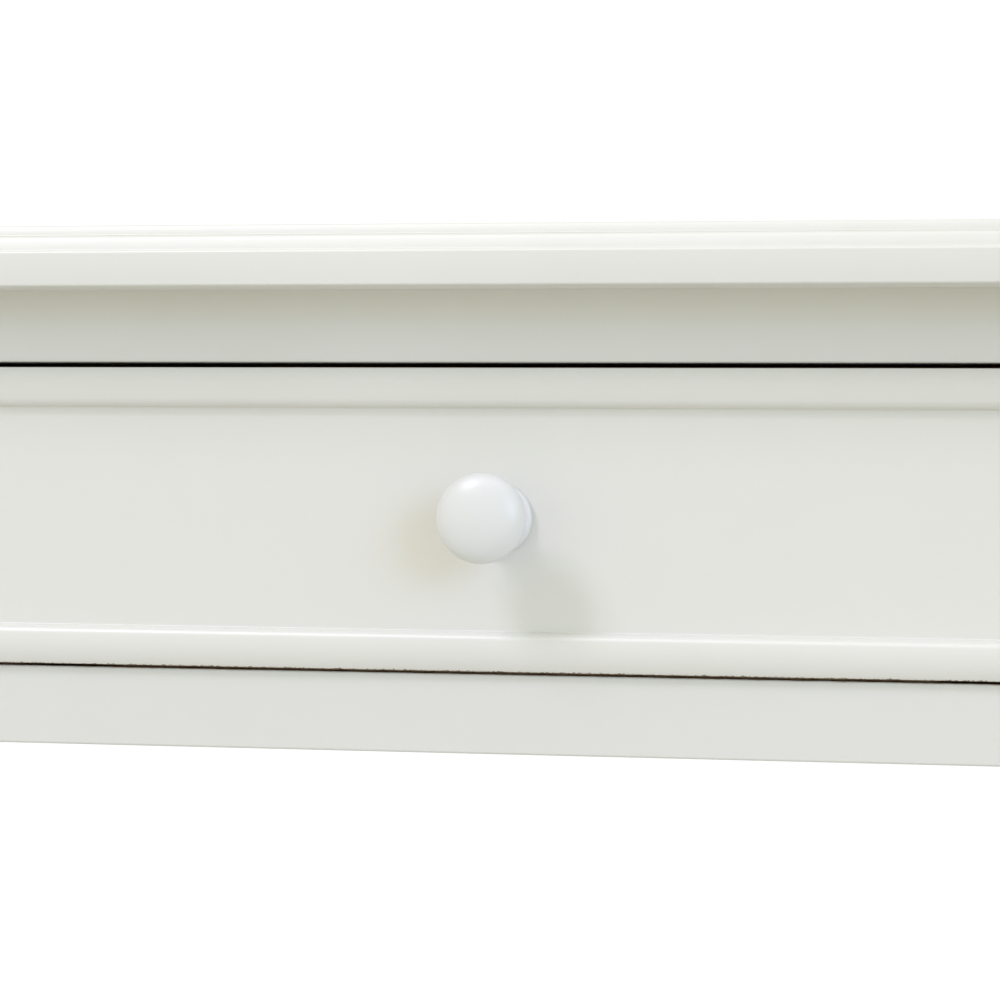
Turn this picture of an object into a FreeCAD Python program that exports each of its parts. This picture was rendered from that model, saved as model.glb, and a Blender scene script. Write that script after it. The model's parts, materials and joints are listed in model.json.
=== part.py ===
import FreeCAD, Part
import math
import os

# Writing desk with two inset drawers, in painted wood, with mortise-and-tenon frame joints,
# dovetailed drawer boxes on wooden runners, turned knobs and wooden turn-button drawer stops.
# Millimetres. +X is right, +Y is towards the back and +Z is up.
# The origin is on the floor, under the middle of the tabletop.

V = FreeCAD.Vector

# ---- Driving dimensions --------------------------------------------------------------------
TOP_WIDTH = 1200.0
TOP_DEPTH = 560.0
TOP_THICK = 22.0
DESK_HEIGHT = 780.0

OVERHANG_FRONT = 32.0  # tabletop beyond the rails' front faces
OVERHANG_SIDE = 23.0  # tabletop beyond the legs
OVERHANG_BACK = 15.0
LEG = 50.0
LEG_FOOT = 32.0
LEG_PROUD = 2.0  # legs stand this far in front of the rails and aprons
TAPER_BELOW_APRON = 40.0

UPPER_RAIL_H = 25.9
GAP_OVER_DRAWER = 1.9
DRAWER_FRONT_H = 107.4
GAP_UNDER_DRAWER = 1.0
LOWER_RAIL_H = 28.2
RAIL_DEPTH = 46.0
APRON_T = 20.0
STILE_W = 36.0

# ---- Places worked out from them -----------------------------------------------------------
TOP_FRONT = -TOP_DEPTH / 2
TOP_BACK = TOP_DEPTH / 2
UNDER_TOP = DESK_HEIGHT - TOP_THICK
RAIL_FACE = TOP_FRONT + OVERHANG_FRONT
RAIL_BACK = RAIL_FACE + RAIL_DEPTH
LEG_OUT = TOP_WIDTH / 2 - OVERHANG_SIDE
LEG_IN = LEG_OUT - LEG
FRONT_LEG = (RAIL_FACE - LEG_PROUD, RAIL_FACE - LEG_PROUD + LEG)
BACK_LEG = (TOP_BACK - OVERHANG_BACK - LEG, TOP_BACK - OVERHANG_BACK)
SIDE_APRON_X = (LEG_OUT - LEG_PROUD - APRON_T, LEG_OUT - LEG_PROUD)
BACK_APRON_Y = (BACK_LEG[1] - LEG_PROUD - APRON_T, BACK_LEG[1] - LEG_PROUD)
OPENING_TOP = UNDER_TOP - UPPER_RAIL_H
DRAWER_TOP = OPENING_TOP - GAP_OVER_DRAWER
DRAWER_BOTTOM = DRAWER_TOP - DRAWER_FRONT_H
OPENING_BOTTOM = DRAWER_BOTTOM - GAP_UNDER_DRAWER
APRON_BOTTOM = OPENING_BOTTOM - LOWER_RAIL_H
TAPER_TOP = APRON_BOTTOM - TAPER_BELOW_APRON

# ---- Tabletop moulding: two small steps over a deep lower step, from the lowest up ---------------
STEP_TOPS = (12.8, 18.3, TOP_THICK)  # height of each step's top over the underside
STEP_SETBACKS = (0.0, 3.0, 6.6)  # how far the foot of each step stands back from the edge
STEP_LEANS = (0.0, 1.9, 1.3)  # how far its face leans back by its top
STEP_ROUNDS = (1.3, 2.2, 1.0)  # radius of its upper edge
TOP_LOWER_ROUND = 0.8
TOP_CORNER_ROUND = 2.0

# ---- Frame joints ----------------------------------------------------------------------------
EDGE_ROUND = 0.8  # eased edges of rails and aprons
LEG_EASED = 1.6
TENON_LENGTH = 28.0
TENON_T = 10.0
APRON_TENON_INSET = 5.0  # from the apron's outer face to the tenon
APRON_TENONS_Z = ((APRON_BOTTOM + 10, APRON_BOTTOM + 75), (APRON_BOTTOM + 95, APRON_BOTTOM + 155))
RAIL_TENON_INSET = 6.0  # from the rail's face, and from its back, to the twin tenons
RAIL_TENON_SHOULDER = 4.0
RAIL_DOVETAIL_LENGTH = 24.0
RAIL_DOVETAIL_T = 12.0
RAIL_DOVETAIL_HALF = (11.0, 15.0)  # half width at the shoulder and at the end
STILE_TENON = (12.0, 24.0, 12.0)  # width, depth and height

# ---- Drawer carriage: runners, guides and kickers ----------------------------------------------
RUNNER_T = 18.0
RUNNER_REACH = 24.0  # how far a side runner or kicker stands inside the leg's inner face
CENTRE_RUNNER_W = 88.0
CENTRE_KICKER_W = 70.0
TONGUE_T = 8.0
TONGUE_LENGTH = 6.0
FIT = 0.2  # easy fit of a carriage board round a leg
GUIDE_H = 25.0
GUIDE_GAP = 1.0  # between a guide and the drawer side
IN_STOP = (30.0, 20.0, 5.0)  # width, depth and thickness
IN_STOP_FROM_CENTRE = 170.0

# ---- Drawers ---------------------------------------------------------------------------------
SIDE_GAP = 1.5  # between the drawer front's end and the leg or stile
DRAWER_CENTRE = (STILE_W / 2 + LEG_IN) / 2
DRAWER_HALF = (LEG_IN - STILE_W / 2) / 2 - SIDE_GAP
FRONT_T = 18.0
PANEL_FACE = RAIL_FACE  # the drawer's flat panel is flush with the rails, so its beading stands proud
FRONT_INNER = PANEL_FACE + FRONT_T
BOX_BACK = 200.0
BOX_T = 12.0
BOX_BOTTOM = OPENING_BOTTOM + FIT
BOX_TOP = DRAWER_TOP - 2.0
BACK_TOP = BOX_TOP - 12.6
TAIL_COUNT = 3
TAIL_NARROW = 22.0
TAIL_WIDE = 26.0
GROOVE_UP = 12.0  # groove over the box's lower edge
GROOVE_DEPTH = 5.0
GROOVE_SLACK = 0.2
PANEL_T = 6.0

# ---- Beading round the drawer front -------------------------------------------------------------
BEAD_W = 14.1
BEAD_UPRIGHT = 0.6  # at the inner edge, under the inner round
BEAD_INNER_ROUND = 3.8
BEAD_OUTER_ROUND = 1.2
BEAD_INNER_TILT = math.radians(14.0)  # of the bowed face, where it meets the inner round
BEAD_OUTER_TILT = math.radians(28.0)  # and where it meets the outer round

# ---- Turned knob: radius and reach from the drawer's panel ---------------------------------------
KNOB_FOOT_R = 12.5
KNOB_FOOT_T = 3.0
KNOB_NECK_R = 6.5
KNOB_NECK_AT = 9.5
KNOB_BACK_R = 12.0
KNOB_BACK_AT = 18.0
KNOB_RIM_R = 16.0
KNOB_RIM_AT = 23.5
KNOB_REACH = 30.5
KNOB_ABOVE_CENTRE = 0.5
KNOB_Z = (DRAWER_TOP + DRAWER_BOTTOM) / 2 + KNOB_ABOVE_CENTRE
KNOB_SCREW_R = 2.0
KNOB_SCREW_IN_KNOB = 12.0
PAN_HEAD = (4.2, 2.4)  # radius and height of the small screws' heads

# ---- Turn-button that stops the drawer coming right out -------------------------------------------
BUTTON_HALF_W = 9.0
BUTTON_T = 8.0
BUTTON_PIVOT_Z = BACK_TOP - 12.0
BUTTON_RISE = 29.0  # pivot to the centre of the upper round end
BUTTON_CLEAR = 0.3
BUTTON_SCREW_R = 2.2
BUTTON_BORE_CLEAR = 0.08

# ---- Fasteners and feet -----------------------------------------------------------------------
TOP_SCREW_R = 2.25
TOP_SCREW_HEAD_R = 4.6
TOP_SCREW_LENGTH = 38.0
TOP_SCREW_SINK = 0.6
HOLE_CLEAR = 0.1
RAIL_SCREWS_X = (-430.0, -120.0, 120.0, 430.0)
KICKER_SCREWS_Y = (-110.0, 130.0)
BLOCK_X = (-400.0, -150.0, 150.0, 400.0)  # wooden clips along the back apron
BLOCK_SIZE = (30.0, 34.0, 20.0)
BLOCK_TONGUE = (8.0, 8.0)  # length and thickness
BLOCK_LIP = 6.0  # from the tabletop down to the tongue
BLOCK_SCREW_LENGTH = 30.0
PANEL_SCREW_R = 1.5
PANEL_SCREW_HEAD_R = 3.0
PANEL_SCREW_LENGTH = 18.0
PANEL_SCREWS_X = (-180.0, 0.0, 180.0)
GLIDE_R = 11.0
GLIDE_T = 4.0
GLIDE_ROUND = 1.0
GLIDE_PIN_R = 1.2
GLIDE_PIN_LENGTH = 14.0
CROSS_SLOT_W = 0.9


# ---- Helpers ---------------------------------------------------------------------------------
def box(x, y, z):
    """A box from three (low, high) pairs."""
    size = [pair[1] - pair[0] for pair in (x, y, z)]
    return Part.makeBox(*size, V(x[0], y[0], z[0]))


def prism(points, direction):
    """The flat outline through 3-D points, extruded along a vector."""
    face = Part.Face(Part.makePolygon([V(*p) for p in points + points[:1]]))
    return face.extrude(V(*direction))


def cylinder(radius, start, direction, length):
    return Part.makeCylinder(radius, length, V(*start), V(*direction))


def rounded(shape, radius, wanted):
    """Rounds the edges whose middle point passes the test."""
    edges = [e for e in shape.Edges if wanted(e.CenterOfMass)]
    return shape.makeFillet(radius, edges)


def near(a, b):
    return abs(a - b) < 1e-4


def both_sides(shape):
    """The right-hand shape, and its mirror image on the left."""
    return shape, shape.mirror(V(0, 0, 0), V(1, 0, 0))


def moved(shape, dx):
    copy = shape.copy()
    copy.translate(V(dx, 0, 0))
    return copy


def cut_all(shape, tools):
    for tool in tools:
        shape = shape.cut(tool)
    return shape


def lathe(profile, start, direction):
    """Turns a closed half outline, drawn as (radius, 0, along), round its axis, and places it."""
    solid = Part.Face(Part.Wire(profile)).revolve(V(0, 0, 0), V(0, 0, 1), 360)
    solid.Placement = FreeCAD.Placement(V(*start), FreeCAD.Rotation(V(0, 0, 1), V(*direction)))
    return solid


def cross_slot(radius, start, direction, depth):
    """A cross-head driver recess, as the solid to cut away."""
    bars = None
    for across in ((radius, CROSS_SLOT_W / 2), (CROSS_SLOT_W / 2, radius)):
        bar = box((-across[0], across[0]), (-across[1], across[1]), (-depth, depth))
        bars = bar if bars is None else bars.fuse(bar)
    bars.Placement = FreeCAD.Placement(V(*start), FreeCAD.Rotation(V(0, 0, 1), V(*direction)))
    return bars


def countersunk_screw(start, direction, length, radius, head_radius):
    """A wood screw whose flat head starts at start and whose point lies along direction."""
    cone = head_radius - radius
    tip = radius * 1.6
    points = [
        (0, 0),
        (head_radius, 0),
        (radius, cone),
        (radius, length - tip),
        (0, length),
    ]
    corners = [V(r, 0, along) for r, along in points + points[:1]]
    lines = [Part.makeLine(a, b) for a, b in zip(corners, corners[1:])]
    screw = lathe(lines, start, direction)
    return screw.cut(cross_slot(head_radius * 0.55, start, direction, head_radius * 0.3))


def countersunk_hole(start, direction, length, radius, head_radius, sink):
    """The clearance hole for that screw, open at the surface sink behind its head."""
    hole = cylinder(radius + HOLE_CLEAR, start, direction, length + HOLE_CLEAR)
    head = head_radius + HOLE_CLEAR
    cone = Part.makeCone(head, radius + HOLE_CLEAR, head_radius - radius, V(*start), V(*direction))
    back = [s - d * sink for s, d in zip(start, direction)]
    mouth = cylinder(head, back, direction, sink)
    return hole.fuse(cone).fuse(mouth)


def pan_screw(start, direction, length, radius):
    """A round-headed screw: its head stands behind start, its shank runs along direction."""
    head_radius, head_height = PAN_HEAD
    back = [s - d * head_height for s, d in zip(start, direction)]
    head = cylinder(head_radius, back, direction, head_height)
    spot = [s - d * head_height / 2 for s, d in zip(start, direction)]
    outer = [
        e
        for e in head.Edges
        if len(e.Vertexes) == 1
        and (e.CenterOfMass - V(*spot)).dot(V(*direction)) < 0
    ]
    head = head.makeFillet(head_height * 0.45, outer)
    screw = head.fuse(cylinder(radius, start, direction, length)).removeSplitter()
    return screw.cut(cross_slot(head_radius * 0.5, back, direction, head_height * 0.5))


# ---- Tabletop ----------------------------------------------------------------------------------
def step_outline(setback, z):
    """The tabletop's outline at one height: set back at the front and the ends, not at the back."""
    x = TOP_WIDTH / 2 - setback
    front = TOP_FRONT + setback
    corners = [(-x, front), (x, front), (x, TOP_BACK), (-x, TOP_BACK)]
    return Part.makePolygon([V(*c, z) for c in corners + corners[:1]])


def make_step(low, high, setback, lean, radius):
    """One step of the moulding, right across the tabletop, with its upper edge rounded."""
    step = Part.makeLoft([step_outline(setback, low), step_outline(setback + lean, high)], True, True)
    corner = TOP_FRONT + setback + lean / 2
    step = rounded(
        step, TOP_CORNER_ROUND, lambda c: near(c.y, corner) and near(c.z, (low + high) / 2)
    )
    return rounded(step, radius, lambda c: near(c.z, high) and c.y < TOP_BACK - 1)


def make_tabletop(screw_holes):
    top = None
    low = UNDER_TOP
    for height, *shape in zip(STEP_TOPS, STEP_SETBACKS, STEP_LEANS, STEP_ROUNDS):
        step = make_step(low, UNDER_TOP + height, *shape)
        top = step if top is None else top.fuse(step)
        low = UNDER_TOP + height
    top = top.removeSplitter()
    top = rounded(top, TOP_LOWER_ROUND, lambda c: near(c.z, UNDER_TOP) and c.y < TOP_BACK - 1)
    return cut_all(top, screw_holes)


# ---- Legs --------------------------------------------------------------------------------------
def leg_section(outer_y, inward, size, z):
    """A square section with its corners taken off, at the leg's outer corner."""
    x = (LEG_OUT - size, LEG_OUT)
    y = sorted((outer_y, outer_y + inward * size))
    e = LEG_EASED
    corners = [
        (x[0] + e, y[0]),
        (x[1] - e, y[0]),
        (x[1], y[0] + e),
        (x[1], y[1] - e),
        (x[1] - e, y[1]),
        (x[0] + e, y[1]),
        (x[0], y[1] - e),
        (x[0], y[0] + e),
    ]
    return Part.makePolygon([V(*c, z) for c in corners + corners[:1]])


def make_leg(outer_y, inward, joints):
    """The right leg whose outer face is at outer_y: square, then tapered on its two inner faces."""
    levels = ((LEG, UNDER_TOP), (LEG, TAPER_TOP), (LEG_FOOT, GLIDE_T))
    sections = [leg_section(outer_y, inward, size, z) for size, z in levels]
    leg = Part.makeLoft(sections, True, True)
    pin_start = (*foot_centre(outer_y, inward), GLIDE_T)
    pin = cylinder(GLIDE_PIN_R, pin_start, (0, 0, 1), GLIDE_PIN_LENGTH)
    return cut_all(leg, [*joints, pin])


def foot_centre(outer_y, inward):
    return LEG_OUT - LEG_FOOT / 2, outer_y + inward * LEG_FOOT / 2


# ---- Rails, stile and aprons ---------------------------------------------------------------------
def make_upper_rail():
    rail = box((-LEG_IN, LEG_IN), (RAIL_FACE, RAIL_BACK), (OPENING_TOP, UNDER_TOP))
    rail = rounded(rail, EDGE_ROUND, lambda c: near(c.y, RAIL_FACE) and near(c.z, OPENING_TOP))
    middle = (RAIL_FACE + RAIL_BACK) / 2
    narrow, wide = RAIL_DOVETAIL_HALF
    low = UNDER_TOP - RAIL_DOVETAIL_T
    tongue = prism(
        [
            (LEG_IN, middle - narrow, low),
            (LEG_IN + RAIL_DOVETAIL_LENGTH, middle - wide, low),
            (LEG_IN + RAIL_DOVETAIL_LENGTH, middle + wide, low),
            (LEG_IN, middle + narrow, low),
        ],
        (0, 0, RAIL_DOVETAIL_T),
    )
    for end in both_sides(tongue):
        rail = rail.fuse(end)
    return rail.removeSplitter()


def make_lower_rail():
    rail = box((-LEG_IN, LEG_IN), (RAIL_FACE, RAIL_BACK), (APRON_BOTTOM, OPENING_BOTTOM))
    rail = rounded(rail, EDGE_ROUND, lambda c: near(c.y, RAIL_FACE) and abs(c.x) < 1)
    z = (APRON_BOTTOM + RAIL_TENON_SHOULDER, OPENING_BOTTOM - RAIL_TENON_SHOULDER)
    starts = (RAIL_FACE + RAIL_TENON_INSET, RAIL_BACK - RAIL_TENON_INSET - TENON_T)
    for start in starts:
        tenon = box((LEG_IN, LEG_IN + TENON_LENGTH), (start, start + TENON_T), z)
        for end in both_sides(tenon):
            rail = rail.fuse(end)
    return rail.removeSplitter()


def make_centre_stile():
    half = STILE_W / 2
    stile = box((-half, half), (RAIL_FACE, RAIL_BACK), (OPENING_BOTTOM, OPENING_TOP))
    stile = rounded(stile, EDGE_ROUND, lambda c: near(c.y, RAIL_FACE) and near(abs(c.x), half))
    width, depth, height = STILE_TENON
    middle = (RAIL_FACE + RAIL_BACK) / 2
    tenon = box(
        (-width / 2, width / 2),
        (middle - depth / 2, middle + depth / 2),
        (OPENING_BOTTOM - height, OPENING_TOP + height),
    )
    return stile.fuse(tenon).removeSplitter()


def make_side_apron():
    apron = box(SIDE_APRON_X, (FRONT_LEG[1], BACK_LEG[0]), (APRON_BOTTOM, UNDER_TOP))
    apron = rounded(
        apron, EDGE_ROUND, lambda c: near(c.x, SIDE_APRON_X[1]) and near(c.z, APRON_BOTTOM)
    )
    x = (SIDE_APRON_X[1] - APRON_TENON_INSET - TENON_T, SIDE_APRON_X[1] - APRON_TENON_INSET)
    y = (FRONT_LEG[1] - TENON_LENGTH, BACK_LEG[0] + TENON_LENGTH)
    for z in APRON_TENONS_Z:
        apron = apron.fuse(box(x, y, z))
    return apron.removeSplitter()


def make_back_apron():
    apron = box((-LEG_IN, LEG_IN), BACK_APRON_Y, (APRON_BOTTOM, UNDER_TOP))
    apron = rounded(
        apron, EDGE_ROUND, lambda c: near(c.y, BACK_APRON_Y[1]) and near(c.z, APRON_BOTTOM)
    )
    y = (BACK_APRON_Y[1] - APRON_TENON_INSET - TENON_T, BACK_APRON_Y[1] - APRON_TENON_INSET)
    reach = LEG_IN + TENON_LENGTH
    for z in APRON_TENONS_Z:
        apron = apron.fuse(box((-reach, reach), y, z))
    return apron.removeSplitter()


# ---- Drawer carriage -------------------------------------------------------------------------
def tongues(x, z_middle):
    """The short tongues of a carriage board, in the front rail and in the back apron."""
    z = (z_middle - TONGUE_T / 2, z_middle + TONGUE_T / 2)
    front = box(x, (RAIL_BACK - TONGUE_LENGTH, RAIL_BACK + 1), z)
    back = box(x, (BACK_APRON_Y[0] - 1, BACK_APRON_Y[0] + TONGUE_LENGTH), z)
    return front.fuse(back)


def make_side_board(z):
    """A side runner or kicker: a board between rail and back apron, notched round both legs."""
    inner = LEG_IN - RUNNER_REACH
    leg_side = LEG_IN - FIT
    outer = SIDE_APRON_X[0]
    front = FRONT_LEG[1] + FIT
    back = BACK_LEG[0] - FIT
    board = prism(
        [
            (inner, RAIL_BACK, z[0]),
            (leg_side, RAIL_BACK, z[0]),
            (leg_side, front, z[0]),
            (outer, front, z[0]),
            (outer, back, z[0]),
            (leg_side, back, z[0]),
            (leg_side, BACK_APRON_Y[0], z[0]),
            (inner, BACK_APRON_Y[0], z[0]),
        ],
        (0, 0, z[1] - z[0]),
    )
    tongue_x = (inner + 2, leg_side - 2)
    return board.fuse(tongues(tongue_x, (z[0] + z[1]) / 2)).removeSplitter()


def make_centre_board(width, z):
    board = box((-width / 2, width / 2), (RAIL_BACK, BACK_APRON_Y[0]), z)
    tongue_half = width / 2 - 12
    return board.fuse(tongues((-tongue_half, tongue_half), (z[0] + z[1]) / 2)).removeSplitter()


def make_side_guide():
    inner = DRAWER_CENTRE + DRAWER_HALF + GUIDE_GAP
    y = (FRONT_LEG[1] + FIT, BACK_LEG[0] - FIT)
    guide = box((inner, SIDE_APRON_X[0]), y, (OPENING_BOTTOM, OPENING_BOTTOM + GUIDE_H))
    top = OPENING_BOTTOM + GUIDE_H
    return rounded(guide, 2.0, lambda c: near(c.x, inner) and near(c.z, top))


def make_centre_guide():
    half = DRAWER_CENTRE - DRAWER_HALF - GUIDE_GAP
    top = OPENING_BOTTOM + GUIDE_H
    guide = box((-half, half), (RAIL_BACK, BACK_APRON_Y[0]), (OPENING_BOTTOM, top))
    return rounded(guide, 2.0, lambda c: near(abs(c.x), half) and near(c.z, top))


def make_in_stops():
    width, depth, thick = IN_STOP
    y = (FRONT_INNER + FIT, FRONT_INNER + FIT + depth)
    z = (OPENING_BOTTOM, OPENING_BOTTOM + thick)
    stops = []
    for centre in (-DRAWER_CENTRE, DRAWER_CENTRE):
        for offset in (-IN_STOP_FROM_CENTRE, IN_STOP_FROM_CENTRE):
            x = centre + offset
            stops.append(box((x - width / 2, x + width / 2), y, z))
    return Part.makeCompound(stops)


# ---- Tabletop fixings ----------------------------------------------------------------------------
def top_screw_places():
    """Where screws go up through the front rail and the kickers into the tabletop."""
    rail_y = (RAIL_FACE + RAIL_BACK) / 2
    kicker_x = (LEG_IN - RUNNER_REACH + SIDE_APRON_X[0]) / 2
    places = [(x, rail_y) for x in RAIL_SCREWS_X]
    for y in KICKER_SCREWS_Y:
        places += [(-kicker_x, y), (0.0, y), (kicker_x, y)]
    return places


def make_top_screws():
    """The screws, and the holes they go in."""
    screws = []
    holes = []
    for x, y in top_screw_places():
        start = (x, y, OPENING_TOP + TOP_SCREW_SINK)
        size = (TOP_SCREW_LENGTH, TOP_SCREW_R, TOP_SCREW_HEAD_R)
        screws.append(countersunk_screw(start, (0, 0, 1), *size))
        holes.append(countersunk_hole(start, (0, 0, 1), *size, TOP_SCREW_SINK))
    return screws, holes


def make_top_blocks():
    """Wooden clips with a tongue in the back apron, their slots, screws and screw holes."""
    width, depth, height = BLOCK_SIZE
    tongue_length, tongue_t = BLOCK_TONGUE
    face = BACK_APRON_Y[0]
    tongue_z = (UNDER_TOP - BLOCK_LIP - tongue_t, UNDER_TOP - BLOCK_LIP)
    blocks, slots, screws, holes = [], [], [], []
    for x in BLOCK_X:
        body = box((x - width / 2, x + width / 2), (face - depth, face), (UNDER_TOP - height, UNDER_TOP))
        body = rounded(body, 3.0, lambda c: near(c.y, face - depth) and near(c.z, UNDER_TOP - height))
        tongue_x = (x - width / 2, x + width / 2)
        block = body.fuse(box(tongue_x, (face - 1, face + tongue_length), tongue_z))
        start = (x, face - depth / 2, UNDER_TOP - height + TOP_SCREW_SINK)
        size = (BLOCK_SCREW_LENGTH, TOP_SCREW_R, TOP_SCREW_HEAD_R)
        hole = countersunk_hole(start, (0, 0, 1), *size, TOP_SCREW_SINK)
        blocks.append(block.removeSplitter().cut(hole))
        slot_x = (x - width / 2 - 4, x + width / 2 + 4)
        slot_z = (tongue_z[0] - 1, tongue_z[1] + 0.5)
        slots.append(box(slot_x, (face, face + tongue_length + 1), slot_z))
        screws.append(countersunk_screw(start, (0, 0, 1), *size))
        holes.append(hole)
    return blocks, slots, screws, holes


# ---- Feet ----------------------------------------------------------------------------------------
def make_glides():
    glides = []
    for outer_y, inward in ((FRONT_LEG[0], 1), (BACK_LEG[1], -1)):
        centre = foot_centre(outer_y, inward)
        disc = cylinder(GLIDE_R, (*centre, 0), (0, 0, 1), GLIDE_T)
        disc = rounded(disc, GLIDE_ROUND, lambda c: near(c.z, 0))
        pin = cylinder(GLIDE_PIN_R, (*centre, GLIDE_T), (0, 0, 1), GLIDE_PIN_LENGTH)
        glides += both_sides(disc.fuse(pin))
    return Part.makeCompound(glides)


# ---- Drawer, drawn about x = 0 ---------------------------------------------------------------------
def tail_row(x, y_shoulder, y_end, z_low, z_high, count):
    """Dovetails of a box side: wider at y_end than at y_shoulder, as one compound."""
    pitch = (z_high - z_low) / count
    scale = pitch * TAIL_COUNT / (BOX_TOP - BOX_BOTTOM)
    narrow = TAIL_NARROW * scale / 2
    wide = TAIL_WIDE * scale / 2
    tails = []
    for i in range(count):
        z = z_low + pitch * (i + 0.5)
        outline = [
            (x[0], y_shoulder, z - narrow),
            (x[0], y_end, z - wide),
            (x[0], y_end, z + wide),
            (x[0], y_shoulder, z + narrow),
        ]
        tails.append(prism(outline, (x[1] - x[0], 0, 0)))
    return tails


def make_box_side():
    """The right side of a drawer box, tails at both ends and a groove for the bottom."""
    x = (DRAWER_HALF - BOX_T, DRAWER_HALF)
    back_inner = BOX_BACK - BOX_T
    side = box(x, (FRONT_INNER, back_inner), (BOX_BOTTOM, BOX_TOP))
    side = rounded(side, 1.5, lambda c: near(c.z, BOX_TOP) and near(abs(c.x - sum(x) / 2), BOX_T / 2))
    front_tails = tail_row(x, FRONT_INNER, FRONT_INNER - BOX_T, BOX_BOTTOM, BOX_TOP, TAIL_COUNT)
    panel_top = BOX_BOTTOM + GROOVE_UP + PANEL_T
    back_tails = tail_row(x, back_inner, BOX_BACK, panel_top, BACK_TOP, TAIL_COUNT - 1)
    for tail in front_tails + back_tails:
        side = side.fuse(tail)
    foot = box(x, (back_inner, BOX_BACK), (BOX_BOTTOM, BOX_BOTTOM + GROOVE_UP + PANEL_T))
    return side.fuse(foot).removeSplitter().cut(groove())


def groove():
    """The space ploughed for the bottom panel in the sides and the front."""
    reach = DRAWER_HALF - BOX_T + GROOVE_DEPTH
    z = (BOX_BOTTOM + GROOVE_UP, BOX_BOTTOM + GROOVE_UP + PANEL_T + GROOVE_SLACK)
    return box((-reach, reach), (FRONT_INNER - GROOVE_DEPTH, BOX_BACK + 1), z)


def make_drawer_front(sides, knob_hole):
    front = box((-DRAWER_HALF, DRAWER_HALF), (PANEL_FACE, FRONT_INNER), (DRAWER_BOTTOM, DRAWER_TOP))
    return cut_all(front, [*sides, groove(), knob_hole])


def make_box_back(sides, screw_holes):
    z = (BOX_BOTTOM + GROOVE_UP + PANEL_T, BACK_TOP)
    back = box((-DRAWER_HALF, DRAWER_HALF), (BOX_BACK - BOX_T, BOX_BACK), z)
    pivot = cylinder(
        BUTTON_SCREW_R, (0, BOX_BACK - BOX_T, BUTTON_PIVOT_Z), (0, 1, 0), BOX_T - 2
    )
    return cut_all(back, [*sides, *screw_holes, pivot])


def make_box_bottom(screw_holes):
    reach = DRAWER_HALF - BOX_T + GROOVE_DEPTH - GROOVE_SLACK
    z = (BOX_BOTTOM + GROOVE_UP, BOX_BOTTOM + GROOVE_UP + PANEL_T)
    panel = box((-reach, reach), (FRONT_INNER - GROOVE_DEPTH + GROOVE_SLACK, BOX_BACK), z)
    return cut_all(panel, screw_holes)


def make_bottom_screws():
    screws = []
    holes = []
    for x in PANEL_SCREWS_X:
        start = (x, BOX_BACK - BOX_T / 2, BOX_BOTTOM + GROOVE_UP)
        size = (PANEL_SCREW_LENGTH, PANEL_SCREW_R, PANEL_SCREW_HEAD_R)
        screws.append(countersunk_screw(start, (0, 0, 1), *size))
        holes.append(countersunk_hole(start, (0, 0, 1), *size, 0.2))
    return screws, holes


def bead_arcs():
    """The section's three tangent arcs, from the inner edge to the outer: each a centre as
    (across, out), a radius and the angles where it starts and ends."""
    upright = math.pi / 2
    start = upright - BEAD_INNER_TILT
    end = upright + BEAD_OUTER_TILT
    inner = (BEAD_W - BEAD_INNER_ROUND, BEAD_UPRIGHT)
    span = (inner[0] + BEAD_INNER_ROUND * math.cos(start)) - BEAD_OUTER_ROUND * (1 + math.cos(end))
    bow = span / (math.cos(start) - math.cos(end))
    face = (
        inner[0] + (BEAD_INNER_ROUND - bow) * math.cos(start),
        inner[1] + (BEAD_INNER_ROUND - bow) * math.sin(start),
    )
    outer = (BEAD_OUTER_ROUND, face[1] + (bow - BEAD_OUTER_ROUND) * math.sin(end))
    return (
        (inner, BEAD_INNER_ROUND, 0, start),
        (face, bow, start, end),
        (outer, BEAD_OUTER_ROUND, end, math.pi),
    )


def bead_outline():
    """The beading's section as edges in (0, out, across): across runs in from the drawer's edge."""

    def at(across, out):
        return V(0, PANEL_FACE - out, across)

    def on(centre, radius, angle):
        return at(centre[0] + radius * math.cos(angle), centre[1] + radius * math.sin(angle))

    arcs = []
    for centre, radius, start, end in bead_arcs():
        points = [on(centre, radius, angle) for angle in (start, (start + end) / 2, end)]
        arcs.append(Part.Arc(*points).toShape())
    wall_top = arcs[0].Vertexes[0].Point
    edge_top = arcs[-1].Vertexes[-1].Point
    return [
        Part.makeLine(at(0, 0), at(BEAD_W, 0)),
        Part.makeLine(at(BEAD_W, 0), wall_top),
        *arcs,
        Part.makeLine(edge_top, at(0, 0)),
    ]


def make_bead(length, height, turn):
    """One mitred strip, drawn along the bottom of a front of that size, then turned to its edge."""
    section = Part.Face(Part.Wire(bead_outline()))
    section.translate(V(-length / 2, 0, -height / 2))
    strip = section.extrude(V(length, 0, 0))
    y = PANEL_FACE - BEAD_W
    mitre = prism(
        [
            (-length / 2, y, -height / 2),
            (length / 2, y, -height / 2),
            (length / 2 - BEAD_W, y, -height / 2 + BEAD_W),
            (-length / 2 + BEAD_W, y, -height / 2 + BEAD_W),
        ],
        (0, BEAD_W, 0),
    )
    strip = strip.common(mitre)
    strip.rotate(V(0, 0, 0), V(0, 1, 0), turn)
    strip.translate(V(0, 0, (DRAWER_TOP + DRAWER_BOTTOM) / 2))
    return strip


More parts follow.
